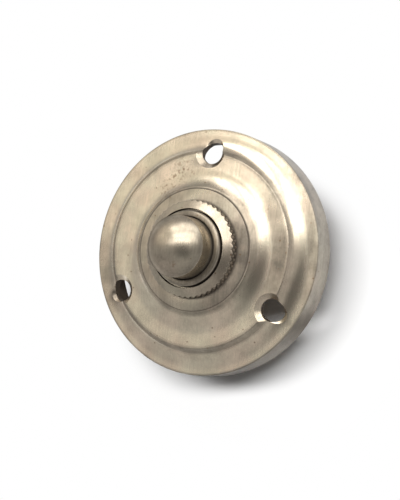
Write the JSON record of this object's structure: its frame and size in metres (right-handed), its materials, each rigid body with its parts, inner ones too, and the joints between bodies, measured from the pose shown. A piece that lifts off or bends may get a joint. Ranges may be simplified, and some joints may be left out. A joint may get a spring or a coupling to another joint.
{
  "type": "doorbell push button",
  "caption": "Round stepped rose plate with a domed push button in a knurled ring nut, over a sprung barrel switch with two wire terminals.",
  "frame": {"origin": "where the push axis meets the wall, at the centre of the rose plate's back rim", "axes": "+Z along the push axis, out of the wall towards the person; +Y towards the top screw hole"},
  "size_m": [0.057, 0.057, 0.0329],
  "materials": {
    "satin_nickel": "satin nickel on brass, brushed and worn warm grey",
    "spring_steel": "blued spring steel",
    "phosphor_bronze": "rolled phosphor bronze",
    "contact_silver": "riveted silver contact",
    "terminal_brass": "turned brass",
    "phenolic_moulding": "moulded brown phenolic",
    "vulcanised_fibre": "punched red vulcanised fibre"
  },
  "bodies": {
    "mounted_body": {"rose_plate": "satin_nickel", "front_washer": "satin_nickel", "ring_nut": "satin_nickel", "barrel": "satin_nickel", "lock_washer": "spring_steel", "retaining_ring": "spring_steel", "return_spring": "phosphor_bronze", "left_contact_strip": "phosphor_bronze", "right_contact_strip": "phosphor_bronze", "left_contact_tip": "contact_silver", "right_contact_tip": "contact_silver", "left_terminal_bush": "terminal_brass", "right_terminal_bush": "terminal_brass", "left_terminal_screw": "terminal_brass", "right_terminal_screw": "terminal_brass", "left_terminal_washer": "terminal_brass", "right_terminal_washer": "terminal_brass", "contact_base": "phenolic_moulding"},
    "plunger": {"push_button": "satin_nickel", "bridge_bush": "vulcanised_fibre", "bridge_disc": "phosphor_bronze", "bridge_washer": "vulcanised_fibre", "bridge_screw": "terminal_brass"}
  },
  "joints": [
    {"name": "button_press", "type": "slide", "parent": "mounted_body", "child": "plunger", "axis": [0, 0, -1], "range_m": [0, 0.0025], "stiffness_N_per_m": 500, "springref_m": -0.003, "deforming": ["return_spring"]}
  ]
}
